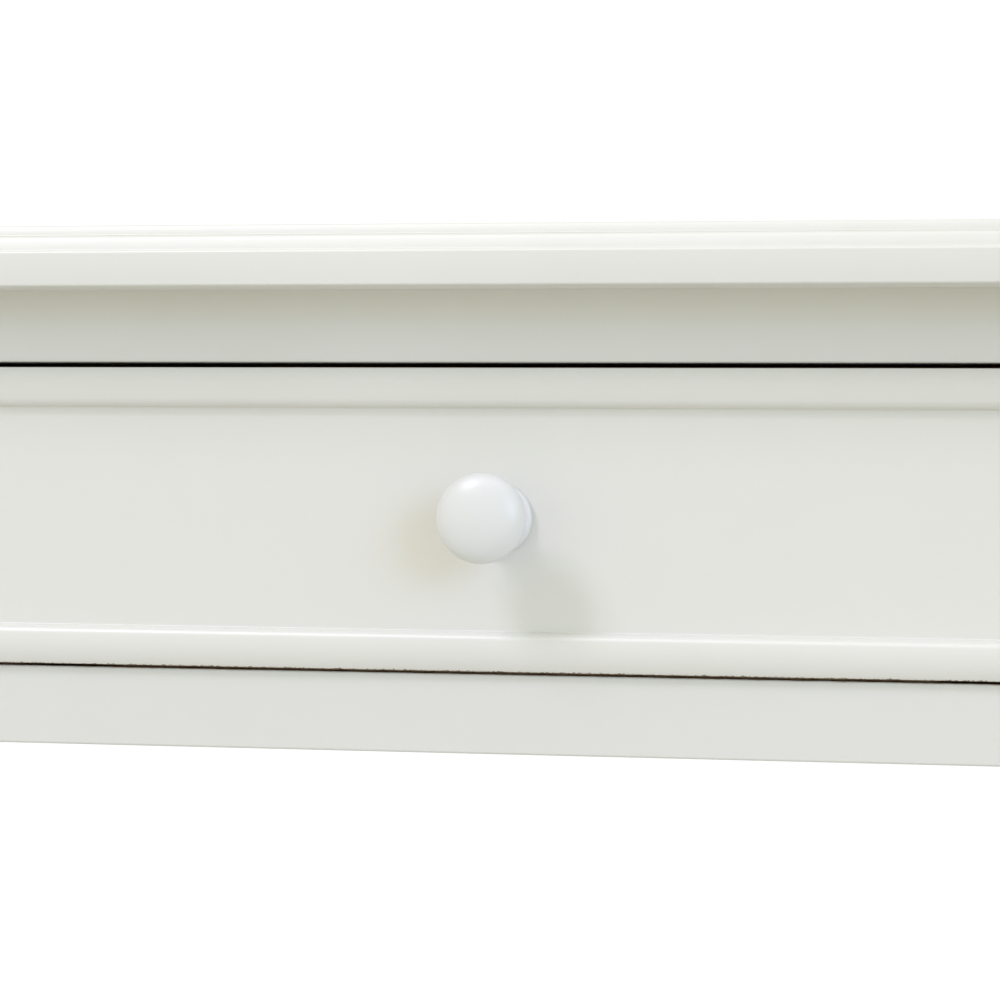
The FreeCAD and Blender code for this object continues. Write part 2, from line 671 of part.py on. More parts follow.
def knob_outline():
    """Half section as edges in (radius, 0, reach), closed along the axis."""

    def at(radius, reach):
        return V(radius, 0, reach)

    foot_edge = at(KNOB_FOOT_R - 1, KNOB_FOOT_T)
    neck = at(KNOB_NECK_R, KNOB_NECK_AT)
    back = at(KNOB_BACK_R, KNOB_BACK_AT)
    rim = at(KNOB_RIM_R, KNOB_RIM_AT)
    neck_curve = Part.BSplineCurve()
    neck_curve.interpolate(
        Points=[at(KNOB_FOOT_R - 2.5, KNOB_FOOT_T), neck, back, rim],
        Tangents=[V(-1, 0, 0.4), V(0, 0, 1), V(1, 0, 0.55), V(0, 0, 1)],
        TangentFlags=[True, True, True, True],
    )
    return [
        Part.makeLine(at(0, 0), at(KNOB_FOOT_R - 0.6, 0)),
        Part.Arc(at(KNOB_FOOT_R - 0.6, 0), at(KNOB_FOOT_R, KNOB_FOOT_T / 2), foot_edge).toShape(),
        Part.makeLine(foot_edge, at(KNOB_FOOT_R - 2.5, KNOB_FOOT_T)),
        neck_curve.toShape(),
        dome_quarter(),
        Part.makeLine(at(0, KNOB_REACH), at(0, 0)),
    ]


def dome_quarter():
    """The knob's front: a quarter of an ellipse, upright at the rim and flat at the centre."""
    kappa = 0.5523  # makes the curve an ellipse to within a thousandth
    height = KNOB_REACH - KNOB_RIM_AT
    curve = Part.BezierCurve()
    curve.setPoles(
        [
            V(KNOB_RIM_R, 0, KNOB_RIM_AT),
            V(KNOB_RIM_R, 0, KNOB_RIM_AT + height * kappa),
            V(KNOB_RIM_R * kappa, 0, KNOB_REACH),
            V(0, 0, KNOB_REACH),
        ]
    )
    return curve.toShape()


def make_knob(screw_hole):
    knob = lathe(knob_outline(), (0, PANEL_FACE, KNOB_Z), (0, -1, 0))
    return knob.cut(screw_hole)


def knob_screw_hole():
    depth = FRONT_T + KNOB_SCREW_IN_KNOB + 0.5
    return cylinder(KNOB_SCREW_R, (0, FRONT_INNER, KNOB_Z), (0, -1, 0), depth)


def make_knob_screw():
    length = FRONT_T + KNOB_SCREW_IN_KNOB
    return pan_screw((0, FRONT_INNER, KNOB_Z), (0, -1, 0), length, KNOB_SCREW_R)


def make_turn_button():
    """The stop, upright: a flat bar with round ends, on the inner face of the drawer's back."""
    y_front = BOX_BACK - BOX_T - BUTTON_CLEAR - BUTTON_T
    low = BUTTON_PIVOT_Z
    high = low + BUTTON_RISE
    bar = box((-BUTTON_HALF_W, BUTTON_HALF_W), (y_front, y_front + BUTTON_T), (low, high))
    for z in (low, high):
        bar = bar.fuse(cylinder(BUTTON_HALF_W, (0, y_front, z), (0, 1, 0), BUTTON_T))
    bar = bar.removeSplitter()
    bar = bar.makeChamfer(0.8, [e for e in bar.Edges if near(e.CenterOfMass.y, y_front)])
    bore_r = BUTTON_SCREW_R + BUTTON_BORE_CLEAR
    return bar.cut(cylinder(bore_r, (0, y_front - 1, low), (0, 1, 0), BUTTON_T + 2))


def make_button_screw():
    y_head = BOX_BACK - BOX_T - 2 * BUTTON_CLEAR - BUTTON_T
    length = BOX_BACK - 2 - y_head
    return pan_screw((0, y_head, BUTTON_PIVOT_Z), (0, 1, 0), length, BUTTON_SCREW_R)


def make_drawer():
    """Every piece of one drawer about x = 0, by name."""
    sides = both_sides(make_box_side())
    bottom_screws, bottom_holes = make_bottom_screws()
    hole = knob_screw_hole()
    width = 2 * DRAWER_HALF
    return {
        "front": make_drawer_front(sides, hole),
        "bead_bottom": make_bead(width, DRAWER_FRONT_H, 0),
        "bead_top": make_bead(width, DRAWER_FRONT_H, 180),
        "bead_right": make_bead(DRAWER_FRONT_H, width, -90),
        "bead_left": make_bead(DRAWER_FRONT_H, width, 90),
        "side_right": sides[0],
        "side_left": sides[1],
        "back": make_box_back(sides, bottom_holes),
        "bottom": make_box_bottom(bottom_holes),
        "bottom_screws": Part.makeCompound(bottom_screws),
        "knob": make_knob(hole),
        "knob_screw": make_knob_screw(),
        "turn_button": make_turn_button(),
        "turn_button_screw": make_button_screw(),
    }


# ---- Whole desk ----------------------------------------------------------------------------------
def make_frame():
    """Every fixed piece of the desk, by name."""
    upper_rail = make_upper_rail()
    lower_rail = make_lower_rail()
    stile = make_centre_stile()
    side_aprons = both_sides(make_side_apron())
    back_apron = make_back_apron()
    runner_z = (OPENING_BOTTOM - RUNNER_T, OPENING_BOTTOM)
    kicker_z = (OPENING_TOP, UNDER_TOP)
    side_runners = both_sides(make_side_board(runner_z))
    side_kickers = both_sides(make_side_board(kicker_z))
    centre_runner = make_centre_board(CENTRE_RUNNER_W, runner_z)
    centre_kicker = make_centre_board(CENTRE_KICKER_W, kicker_z)
    top_screws, top_holes = make_top_screws()
    blocks, slots, block_screws, block_holes = make_top_blocks()
    guides = both_sides(make_side_guide())

    runners = [*side_runners, centre_runner]
    kickers = [*side_kickers, centre_kicker]
    front_leg_joints = [upper_rail, lower_rail, *side_aprons]
    back_leg_joints = [back_apron, *side_aprons]
    front_legs = both_sides(make_leg(FRONT_LEG[0], 1, front_leg_joints))
    back_legs = both_sides(make_leg(BACK_LEG[1], -1, back_leg_joints))
    return {
        "tabletop": make_tabletop(top_holes + block_holes),
        "leg_front_right": front_legs[0],
        "leg_front_left": front_legs[1],
        "leg_back_right": back_legs[0],
        "leg_back_left": back_legs[1],
        "rail_upper": cut_all(upper_rail, [stile, *kickers, *top_holes]),
        "rail_lower": cut_all(lower_rail, [stile, *runners]),
        "centre_stile": stile,
        "apron_right": side_aprons[0],
        "apron_left": side_aprons[1],
        "apron_back": cut_all(back_apron, [*runners, *kickers, *slots]),
        "runner_right": side_runners[0],
        "runner_left": side_runners[1],
        "runner_centre": centre_runner,
        "guide_right": guides[0],
        "guide_left": guides[1],
        "guide_centre": make_centre_guide(),
        "kicker_right": cut_all(side_kickers[0], top_holes),
        "kicker_left": cut_all(side_kickers[1], top_holes),
        "kicker_centre": cut_all(centre_kicker, top_holes),
        "drawer_in_stops": make_in_stops(),
        "tabletop_screws": Part.makeCompound(top_screws),
        "tabletop_clips": Part.makeCompound(blocks),
        "tabletop_clip_screws": Part.makeCompound(block_screws),
        "foot_glides": make_glides(),
    }


def main():
    os.makedirs("parts", exist_ok=True)
    pieces = make_frame()
    drawer = make_drawer()
    for side, centre in (("left", -DRAWER_CENTRE), ("right", DRAWER_CENTRE)):
        for name, shape in drawer.items():
            pieces[f"drawer_{side}_{name}"] = moved(shape, centre)
    for name, shape in pieces.items():
        solids = len(shape.Solids)
        print(f"{name:32s} solids {solids:2d}  valid {shape.isValid()}  {shape.Volume / 1000:9.2f} cm3")
        shape.exportStep(f"parts/{name}.step")
    print(len(pieces), "pieces")


main()
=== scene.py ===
import json
import math

import bmesh
import bpy
from mathutils import Matrix, Vector, noise


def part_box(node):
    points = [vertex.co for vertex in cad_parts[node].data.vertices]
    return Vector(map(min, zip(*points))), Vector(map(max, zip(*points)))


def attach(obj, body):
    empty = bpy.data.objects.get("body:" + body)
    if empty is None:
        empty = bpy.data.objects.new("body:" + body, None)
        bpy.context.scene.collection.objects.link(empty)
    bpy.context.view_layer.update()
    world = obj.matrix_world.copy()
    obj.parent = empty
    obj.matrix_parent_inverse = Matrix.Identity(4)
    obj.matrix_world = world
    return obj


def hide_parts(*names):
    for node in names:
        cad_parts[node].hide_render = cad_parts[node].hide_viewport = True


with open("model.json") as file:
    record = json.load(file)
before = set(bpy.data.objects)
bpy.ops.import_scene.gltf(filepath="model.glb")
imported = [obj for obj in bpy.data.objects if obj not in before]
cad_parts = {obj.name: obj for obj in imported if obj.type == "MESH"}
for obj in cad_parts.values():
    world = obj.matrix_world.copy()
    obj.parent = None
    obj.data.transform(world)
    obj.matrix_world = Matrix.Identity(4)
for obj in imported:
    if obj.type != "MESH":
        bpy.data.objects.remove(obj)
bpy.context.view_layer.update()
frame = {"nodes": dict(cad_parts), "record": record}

MM = 0.001
SIDES = ("left", "right")

# ---- Places, all from the frame ------------------------------------------------------------------
TOP_LOW, TOP_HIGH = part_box("tabletop")
FRONT_LOW, FRONT_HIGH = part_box("drawer_right_front")
RAIL_LOW, RAIL_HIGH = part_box("rail_upper")
LOWER_LOW, LOWER_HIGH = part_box("rail_lower")
KNOB_LOW, KNOB_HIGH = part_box("drawer_right_knob")
PANEL_FACE = FRONT_LOW.y
KNOB_Z = (KNOB_LOW.z + KNOB_HIGH.z) / 2

# ---- Finish of the moulded edges -----------------------------------------------------------------
ROUND_STEPS = 9  # segments in a quarter round
WAVE = 0.05 * MM  # how far a hand-finished surface wanders
WAVE_LENGTH = 28 * MM
ALONG_STEP = 6 * MM  # spacing of the points along a moulding
TABLETOP_SEED = 3.0
BEADING_SEEDS = {"left": 11.0, "right": 16.0}

# Tabletop moulding from the lowest step up, in mm: height of its top over the underside, setback
# of its foot, how far its face leans back, and the radius of its upper edge.
TOP_STEPS = ((12.8, 0.0, 0.0, 1.3), (18.3, 3.0, 1.9, 2.2), (22.0, 6.6, 1.3, 1.0))
TOP_BULGES = (0.28, 0.05)  # how far the lowest step's face and the upper ones' bow out
TOP_CREASE_FILL = 0.45  # paint that has gathered at the foot of each upper step
TOP_LOWER_ROUND = 0.8
TOP_CORNER_ROUND = 2.0
TOP_RINGS = (4.0, 12.0)  # flat rings this far in, which keep the edge's shading off the faces

# Beading round a drawer front, in mm.
BEAD_W = 14.1
BEAD_UPRIGHT = 0.6
BEAD_INNER_ROUND = 3.8
BEAD_OUTER_ROUND = 1.2
BEAD_TILTS = (14.0, 28.0)  # degrees, of the bowed face where it meets the inner and outer rounds
BEAD_PAINT_FILL = 0.5  # paint that has gathered in the inner corner
BEAD_STEADY = 1.5  # the surface wanders only above this height
BEAD_SHORT_SIDE_STEPS = 18

# Knob, in mm: radius and reach from the drawer's panel.
KNOB_FOOT_R = 12.5
KNOB_FOOT_T = 3.0
KNOB_FOOT_ROUND = 1.0
KNOB_COVE_R = 10.0  # where the neck's hollow curve meets the foot
KNOB_NECK = (6.5, 9.5)
KNOB_BACK = (12.0, 18.0)
KNOB_RIM = (16.0, 23.5)
KNOB_REACH = 30.5
KNOB_SEGMENTS = 128
# Curves from the foot to the rim: where each ends, its two handles as offsets, and its segments.
KNOB_CURVES = (
    (KNOB_NECK, (-2.2, 0.6), (0.0, -3.5), 14),
    (KNOB_BACK, (0.0, 3.6), (-2.6, -1.6), 14),
    (KNOB_RIM, (2.2, 1.35), (0.0, -2.4), 12),
)
KNOB_DOME_STEPS = 32


# ---- Outline helpers: points are (a, b) pairs in mm ----------------------------------------------
def arc(centre, radius, start, end, steps=ROUND_STEPS):
    """Points on an arc, angles in degrees, both ends included."""
    points = []
    for i in range(steps + 1):
        angle = math.radians(start + (end - start) * i / steps)
        points.append((centre[0] + radius * math.cos(angle), centre[1] + radius * math.sin(angle)))
    return points


def bezier(p0, p1, p2, p3, steps):
    """Points on a cubic curve, both ends included."""
    points = []
    for i in range(steps + 1):
        t = i / steps
        s = 1 - t
        weights = (s**3, 3 * s * s * t, 3 * s * t * t, t**3)
        pairs = list(zip(weights, (p0, p1, p2, p3)))
        points.append(tuple(sum(w * p[k] for w, p in pairs) for k in (0, 1)))
    return points


def bulged(start, end, bulge, steps):
    """A slightly bowed line from start to end; bulge is its height, to the left of the line."""
    along = (end[0] - start[0], end[1] - start[1])
    length = math.hypot(*along)
    across = (-along[1] / length, along[0] / length)
    points = []
    for i in range(steps + 1):
        t = i / steps
        rise = bulge * 4 * t * (1 - t)
        points.append(tuple(start[k] + along[k] * t + across[k] * rise for k in (0, 1)))
    return points


def wander(point, seed):
    """A smooth random amount from 0 to WAVE for a point on a hand-finished surface."""
    p = Vector(point) / WAVE_LENGTH + Vector((seed, seed * 1.7, seed * 2.3))
    return WAVE * (0.5 + 0.5 * noise.noise(p))


# ---- Mesh helpers --------------------------------------------------------------------------------
def finish_mesh(name, bm, material, sharp=35):
    """Turns a bmesh into a smooth-shaded object, sharp only where faces meet at more than that
    many degrees."""
    bmesh.ops.remove_doubles(bm, verts=bm.verts, dist=1e-7)
    bmesh.ops.recalc_face_normals(bm, faces=bm.faces)
    mesh = bpy.data.meshes.new(name)
    bm.to_mesh(mesh)
    bm.free()
    for polygon in mesh.polygons:
        polygon.use_smooth = True
    mesh.set_sharp_from_angle(angle=math.radians(sharp))
    mesh.materials.append(material)
    obj = bpy.data.objects.new(name, mesh)
    bpy.context.scene.collection.objects.link(obj)
    weighted = obj.modifiers.new("even_normals", "WEIGHTED_NORMAL")
    weighted.keep_sharp = True
    return obj


def bridge(bm, loops, close_along):
    """Quads between successive loops of vertices; close_along joins the last to the first."""
    pairs = list(zip(loops, loops[1:]))
    if close_along:
        pairs.append((loops[-1], loops[0]))
    for low, high in pairs:
        for i in range(len(low)):
            j = (i + 1) % len(low)
            bm.faces.new((low[i], low[j], high[j], high[i]))


def steps_between(start, end, count):
    """Evenly spaced values from start towards end, without the end."""
    return [start + (end - start) * i / count for i in range(count)]


# ---- Materials -----------------------------------------------------------------------------------
def shader(name, specular):
    """A new material, its node tree and its one shader."""
    material = bpy.data.materials.new(name)
    material.use_nodes = True
    tree = material.node_tree
    principled = tree.nodes["Principled BSDF"]
    principled.inputs["Specular IOR Level"].default_value = specular
    return material, tree, principled


def coordinates(tree, stretch=(1, 1, 1)):
    """The object's own coordinates in metres, squeezed along chosen axes."""
    source = tree.nodes.new("ShaderNodeTexCoord")
    mapping = tree.nodes.new("ShaderNodeMapping")
    mapping.inputs["Scale"].default_value = stretch
    tree.links.new(source.outputs["Object"], mapping.inputs["Vector"])
    return mapping.outputs["Vector"]


def noise_texture(tree, vector, scale, detail=3.0, roughness=0.55):
    """Soft noise from 0 to 1; scale is about how many patches there are in a metre."""
    node = tree.nodes.new("ShaderNodeTexNoise")
    node.inputs["Scale"].default_value = scale
    node.inputs["Detail"].default_value = detail
    node.inputs["Roughness"].default_value = roughness
    tree.links.new(vector, node.inputs["Vector"])
    return node.outputs["Fac"]


def spread(tree, value, low, high, to_low=0.0, to_high=1.0):
    """Maps low..high to to_low..to_high and clamps it."""
    node = tree.nodes.new("ShaderNodeMapRange")
    node.inputs["From Min"].default_value = low
    node.inputs["From Max"].default_value = high
    node.inputs["To Min"].default_value = to_low
    node.inputs["To Max"].default_value = to_high
    tree.links.new(value, node.inputs["Value"])
    return node.outputs["Result"]


def math_node(tree, operation, first, second):
    node = tree.nodes.new("ShaderNodeMath")
    node.operation = operation
    for socket, value in zip(node.inputs, (first, second)):
        if isinstance(value, (int, float)):
            socket.default_value = value
        else:
            tree.links.new(value, socket)
    return node.outputs["Value"]


def mix_colour(tree, factor, first, second):
    node = tree.nodes.new("ShaderNodeMix")
    node.data_type = "RGBA"
    tree.links.new(factor, node.inputs["Factor"])
    for socket, value in ((node.inputs["A"], first), (node.inputs["B"], second)):
        if isinstance(value, tuple):
            socket.default_value = (*value, 1.0)
        else:
            tree.links.new(value, socket)
    return node.outputs["Result"]


def bump(tree, height, distance, strength, under=None):
    """The normal of a surface with that height, on top of another normal if one is given."""
    node = tree.nodes.new("ShaderNodeBump")
    node.inputs["Distance"].default_value = distance
    node.inputs["Strength"].default_value = strength
    tree.links.new(height, node.inputs["Height"])
    if under is not None:
        tree.links.new(under, node.inputs["Normal"])
    return node.outputs["Normal"]


def speck_mask(tree, vector, per_metre, radius, share):
    """Small round dust specks: one in some of the cells of a 3-D pattern."""
    cells = tree.nodes.new("ShaderNodeTexVoronoi")
    cells.inputs["Scale"].default_value = per_metre
    tree.links.new(vector, cells.inputs["Vector"])
    near = spread(tree, cells.outputs["Distance"], radius * per_metre, radius * per_metre * 0.4)
    split = tree.nodes.new("ShaderNodeSeparateColor")
    tree.links.new(cells.outputs["Color"], split.inputs["Color"])
    chosen = math_node(tree, "LESS_THAN", split.outputs["Red"], share)
    return math_node(tree, "MULTIPLY", near, chosen)


def paint_layers(tree, vector, colours, texture=1.0):
    """Colour, roughness and normal of brushed and rolled satin paint."""
    light, dark = colours
    tone = spread(tree, noise_texture(tree, vector, 9.0, 4.0), 0.3, 0.7)
    colour = mix_colour(tree, tone, dark, light)
    specks = speck_mask(tree, vector, 34.0, 0.45 * MM, 0.22)
    colour = mix_colour(tree, math_node(tree, "MULTIPLY", specks, 0.35), colour, SPECK_COLOUR)
    peel = noise_texture(tree, vector, 330.0, 2.0, 0.45)
    brushed = noise_texture(tree, coordinates(tree, (22.0, 420.0, 420.0)), 1.0, 3.0)
    fine = noise_texture(tree, vector, 1500.0, 2.0)
    normal = bump(tree, brushed, 0.05 * MM, 0.22 * texture)
    normal = bump(tree, peel, 0.10 * MM, 0.30 * texture, normal)
    normal = bump(tree, fine, 0.02 * MM, 0.30 * texture, normal)
    normal = bump(tree, specks, 0.12 * MM, 0.6, normal)
    roughness = spread(tree, noise_texture(tree, vector, 120.0, 3.0), 0.25, 0.75, 0.28, 0.38)
    return colour, roughness, normal


def wood_layers(tree, grain, colours):
    """Colour, roughness and normal of bare planed wood with its grain along one axis."""
    light, dark = colours
    long_way = {"X": (1.2, 26, 26), "Y": (26, 1.2, 26), "Z": (26, 26, 1.2)}[grain]
    pores_way = {"X": (30, 900, 900), "Y": (900, 30, 900), "Z": (900, 900, 30)}[grain]
    vector = coordinates(tree, long_way)
    bands = tree.nodes.new("ShaderNodeTexWave")
    bands.wave_type = "RINGS"
    bands.rings_direction = grain
    bands.inputs["Scale"].default_value = 1.1
    bands.inputs["Distortion"].default_value = 5.0
    bands.inputs["Detail"].default_value = 3.0
    bands.inputs["Detail Scale"].default_value = 0.8
    tree.links.new(vector, bands.inputs["Vector"])
    streaks = noise_texture(tree, vector, 3.4, 5.0, 0.6)
    pores = noise_texture(tree, coordinates(tree, pores_way), 1.0, 2.0)
    rings = math_node(tree, "MULTIPLY", bands.outputs["Fac"], 0.45)
    figure = math_node(tree, "ADD", rings, streaks)
    colour = mix_colour(tree, spread(tree, figure, 0.35, 1.05), dark, light)
    shade = tuple(c * 0.62 for c in dark)
    colour = mix_colour(tree, spread(tree, pores, 0.62, 0.74, 0.0, 0.7), colour, shade)
    normal = bump(tree, pores, 0.10 * MM, 0.35)
    normal = bump(tree, streaks, 0.15 * MM, 0.2, normal)
    roughness = spread(tree, streaks, 0.3, 0.7, 0.58, 0.74)
    return colour, roughness, normal


def connect(tree, principled, layers):
    for name, value in zip(("Base Color", "Roughness", "Normal"), layers):
        tree.links.new(value, principled.inputs[name])


# Colours, a pair of tones for each material, and how strongly each kind of surface reflects
HOUSE_PAINT = ((0.770, 0.766, 0.738), (0.748, 0.743, 0.713))
LOWER_RAIL_SHADED_PAINT = ((0.738, 0.737, 0.715), (0.716, 0.714, 0.690))  # the house paint made darker: painted shade on the lower rail
KNOB_PAINT = ((0.768, 0.777, 0.783), (0.748, 0.757, 0.763))
SPECK_COLOUR = (0.42, 0.40, 0.36)
BARE_WOOD = ((0.50, 0.33, 0.185), (0.33, 0.19, 0.095))
WORN_WOOD = ((0.30, 0.22, 0.14), (0.12, 0.08, 0.05))  # where a drawer's lower edge has rubbed
PLYWOOD = ((0.60, 0.44, 0.27), (0.44, 0.30, 0.17))
STEEL_TONES = ((0.42, 0.41, 0.39), (0.62, 0.61, 0.58))
NYLON_TONES = ((0.60, 0.57, 0.50), (0.72, 0.70, 0.63))
FLOOR_TONES = ((0.66, 0.655, 0.645), (0.70, 0.695, 0.685))
PAINT_SPECULAR = 0.65
KNOB_SPECULAR = 0.5
WOOD_SPECULAR = 0.35
STEEL_SPECULAR = 0.5
NYLON_SPECULAR = 0.4
FLOOR_SPECULAR = 0.3


def paint(name, colours, specular, texture=1.0):
    material, tree, principled = shader(name, specular)
    connect(tree, principled, paint_layers(tree, coordinates(tree), colours, texture))
    return material


def wood(name, grain, colours=BARE_WOOD):
    material, tree, principled = shader(name, WOOD_SPECULAR)
    connect(tree, principled, wood_layers(tree, grain, colours))
    return material


# How ragged an edge of the paint is, and how many rags it has in a metre
BRUSHED_EDGE = (0.9 * MM, 160.0)
CRUMBLING_EDGE = (2.2 * MM, 900.0)


def part_painted(name, grain, bare, colours=HOUSE_PAINT, edge=BRUSHED_EDGE, under=BARE_WOOD):
    """Paint over wood, bare where any test holds. A test is (axis, sign, value): the coordinate
    along that axis is past the value in that direction. The paint's edge wavers by about a
    quarter of its raggedness either way."""
    rag, rags_per_metre = edge
    material, tree, principled = shader(name, PAINT_SPECULAR)
    vector = coordinates(tree)
    painted = paint_layers(tree, vector, colours)
    plain = wood_layers(tree, grain, under)
    split = tree.nodes.new("ShaderNodeSeparateXYZ")
    tree.links.new(vector, split.inputs["Vector"])
    ragged = noise_texture(tree, vector, rags_per_metre, 3.0)
    mask = None
    for axis, sign, value in bare:
        past = math_node(tree, "SUBTRACT", split.outputs[axis], value)
        distance = math_node(tree, "MULTIPLY", past, sign)
        wavering = math_node(tree, "ADD", distance, math_node(tree, "MULTIPLY", ragged, rag))
        inside = spread(tree, wavering, rag / 2, rag / 2 + 0.3 * MM)
        mask = inside if mask is None else math_node(tree, "MAXIMUM", mask, inside)
    colour = mix_colour(tree, mask, painted[0], plain[0])
    roughness = math_node(tree, "ADD", painted[1], math_node(tree, "MULTIPLY", mask, 0.22))
    connect(tree, principled, (colour, roughness, painted[2]))
    return material


def steel(name):
    material, tree, principled = shader(name, STEEL_SPECULAR)
    principled.inputs["Metallic"].default_value = 1.0
    vector = coordinates(tree)
    tone = spread(tree, noise_texture(tree, vector, 700.0, 3.0), 0.3, 0.7)
    colour = mix_colour(tree, tone, *STEEL_TONES)
    roughness = spread(tree, noise_texture(tree, vector, 900.0, 2.0), 0.3, 0.7, 0.28, 0.46)
    turned = noise_texture(tree, coordinates(tree, (2500.0, 300.0, 2500.0)), 1.0, 2.0)
    connect(tree, principled, (colour, roughness, bump(tree, turned, 0.02 * MM, 0.4)))
    return material


def nylon(name):
    material, tree, principled = shader(name, NYLON_SPECULAR)
    vector = coordinates(tree)
    tone = spread(tree, noise_texture(tree, vector, 160.0, 4.0), 0.3, 0.7)
    colour = mix_colour(tree, tone, *NYLON_TONES)
    roughness = spread(tree, noise_texture(tree, vector, 500.0, 3.0), 0.3, 0.7, 0.48, 0.62)
    scuffs = noise_texture(tree, coordinates(tree, (300.0, 1500.0, 300.0)), 1.0, 3.0)
    connect(tree, principled, (colour, roughness, bump(tree, scuffs, 0.03 * MM, 0.5)))
    return material


# ---- Tabletop ------------------------------------------------------------------------------------
def tabletop_outline():
    """The moulded edge from the underside up, as (setback, height) in mm."""
    points = arc((TOP_LOWER_ROUND, TOP_LOWER_ROUND), TOP_LOWER_ROUND, -90, -180, 5)
    floor = TOP_LOWER_ROUND
    low = 0.0
    for top, setback, lean, radius in TOP_STEPS:
        tilt = math.atan2(lean, top - low)
        bulge = TOP_BULGES[0] if lean == 0 else TOP_BULGES[1]
        foot = (setback + bulge, floor)
        rise = top - radius - floor
        centre = (foot[0] + (radius + rise * math.sin(tilt)) / math.cos(tilt), top - radius)
        shoulder = (centre[0] - radius * math.cos(tilt), centre[1] + radius * math.sin(tilt))
        if lean > 0:
            fill = TOP_CREASE_FILL
            points += arc((foot[0] - fill, floor + fill), fill, -90, -10, 4)
            foot = (foot[0] + fill * math.tan(tilt), floor + fill)
        points += bulged(foot, shoulder, bulge, 10)
        points += arc(centre, radius, 180 - math.degrees(tilt), 90)
        floor = low = top
    return points


def tabletop_loop(setback, height, seed):
    """One closed loop round the board: two sides and the front follow the moulding."""
    half = TOP_HIGH.x - setback
    front = TOP_LOW.y + setback
    corner = TOP_CORNER_ROUND * MM
    side_count = round((TOP_HIGH.y - TOP_LOW.y) / ALONG_STEP / 3)
    front_count = round((TOP_HIGH.x - TOP_LOW.x) / ALONG_STEP)
    loop = []
    for y in steps_between(TOP_HIGH.y, front + corner, side_count):
        loop.append((half, y, 1, 0))
    for x, y in arc((half - corner, front + corner), corner, 0, -90, 6):
        loop.append((x, y, 0, 0))
    for x in steps_between(half - corner, -half + corner, front_count)[1:]:
        loop.append((x, front, 0, 1))
    for x, y in arc((-half + corner, front + corner), corner, -90, -180, 6):
        loop.append((x, y, 0, 0))
    for y in steps_between(front + corner, TOP_HIGH.y, side_count)[1:]:
        loop.append((-half, y, -1, 0))
    loop.append((-half, TOP_HIGH.y, 0, 0))
    points = []
    for x, y, side, front_share in loop:
        drift = wander((x, y, height), seed)
        points.append((x - side * drift, y + front_share * drift, height))
    return points


def make_tabletop(material):
    """The board as one closed mesh."""
    outline = tabletop_outline()
    inset, thickness = outline[-1]
    lowest = [(ring, 0.0) for ring in reversed(TOP_RINGS)]
    highest = [(inset + ring, thickness) for ring in TOP_RINGS]
    bm = bmesh.new()
    loops = []
    for setback, height in lowest + outline + highest:
        points = tabletop_loop(setback * MM, TOP_LOW.z + height * MM, TABLETOP_SEED)
        loops.append([bm.verts.new(p) for p in points])
    bridge(bm, loops, False)
    bm.faces.new(loops[0])
    bm.faces.new(loops[-1])
    top = finish_mesh("painted_tabletop", bm, material)
    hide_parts("tabletop")
    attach(top, "frame")


# ---- Drawer beading ------------------------------------------------------------------------------
def bead_outline():
    """The beading's section in mm: distance in from the drawer's edge, height over its panel."""
    start, end = 90 - BEAD_TILTS[0], 90 + BEAD_TILTS[1]
    inner = (BEAD_W - BEAD_INNER_ROUND, BEAD_UPRIGHT)
    inner_round = arc(inner, BEAD_INNER_ROUND, 0, start, ROUND_STEPS + 5)
    shoulder = inner_round[-1]
    cos_start, cos_end = math.cos(math.radians(start)), math.cos(math.radians(end))
    bow = (shoulder[0] - BEAD_OUTER_ROUND * (1 + cos_end)) / (cos_start - cos_end)
    face = (shoulder[0] - bow * cos_start, shoulder[1] - bow * math.sin(math.radians(start)))
    bowed_face = arc(face, bow, start, end, 18)
    outer = (BEAD_OUTER_ROUND, face[1] + (bow - BEAD_OUTER_ROUND) * math.sin(math.radians(end)))
    outer_round = arc(outer, BEAD_OUTER_ROUND, end, 180)
    fill = BEAD_PAINT_FILL
    crease = arc((BEAD_W + fill, fill), fill, 270, 180, 5)
    foot = (BEAD_W + fill, -0.02)  # just inside the panel
    return [foot, *crease, *inner_round, *bowed_face[1:-1], *outer_round, (0.0, 0.0)]


def bead_loop(across, out, low, high, seed):
    """One closed loop round the drawer front, that far in from its edges and out from its panel."""
    corners = [
        (low.x + across, low.z + across),
        (high.x - across, low.z + across),
        (high.x - across, high.z - across),
        (low.x + across, high.z - across),
    ]
    loop = []
    for i, start in enumerate(corners):
        end = corners[(i + 1) % 4]
        count = round((high.x - low.x) / ALONG_STEP) if i % 2 == 0 else BEAD_SHORT_SIDE_STEPS
        for k in range(count):
            t = k / count
            x = start[0] + (end[0] - start[0]) * t
            z = start[1] + (end[1] - start[1]) * t
            drift = wander((x, out, z), seed) if out > BEAD_STEADY * MM else 0.0
            loop.append((x, PANEL_FACE - out + drift, z))
    return loop


def make_beading(side, material, seed):
    low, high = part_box(f"drawer_{side}_front")
    bm = bmesh.new()
    loops = []
    for across, out in bead_outline():
        loops.append([bm.verts.new(p) for p in bead_loop(across * MM, out * MM, low, high, seed)])
    bridge(bm, loops, True)
    beading = finish_mesh(f"{side}_drawer_beading", bm, material)
    strips = [f"drawer_{side}_bead_{edge}" for edge in ("top", "bottom", "left", "right")]
    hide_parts(*strips)
    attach(beading, f"drawer_{side}")


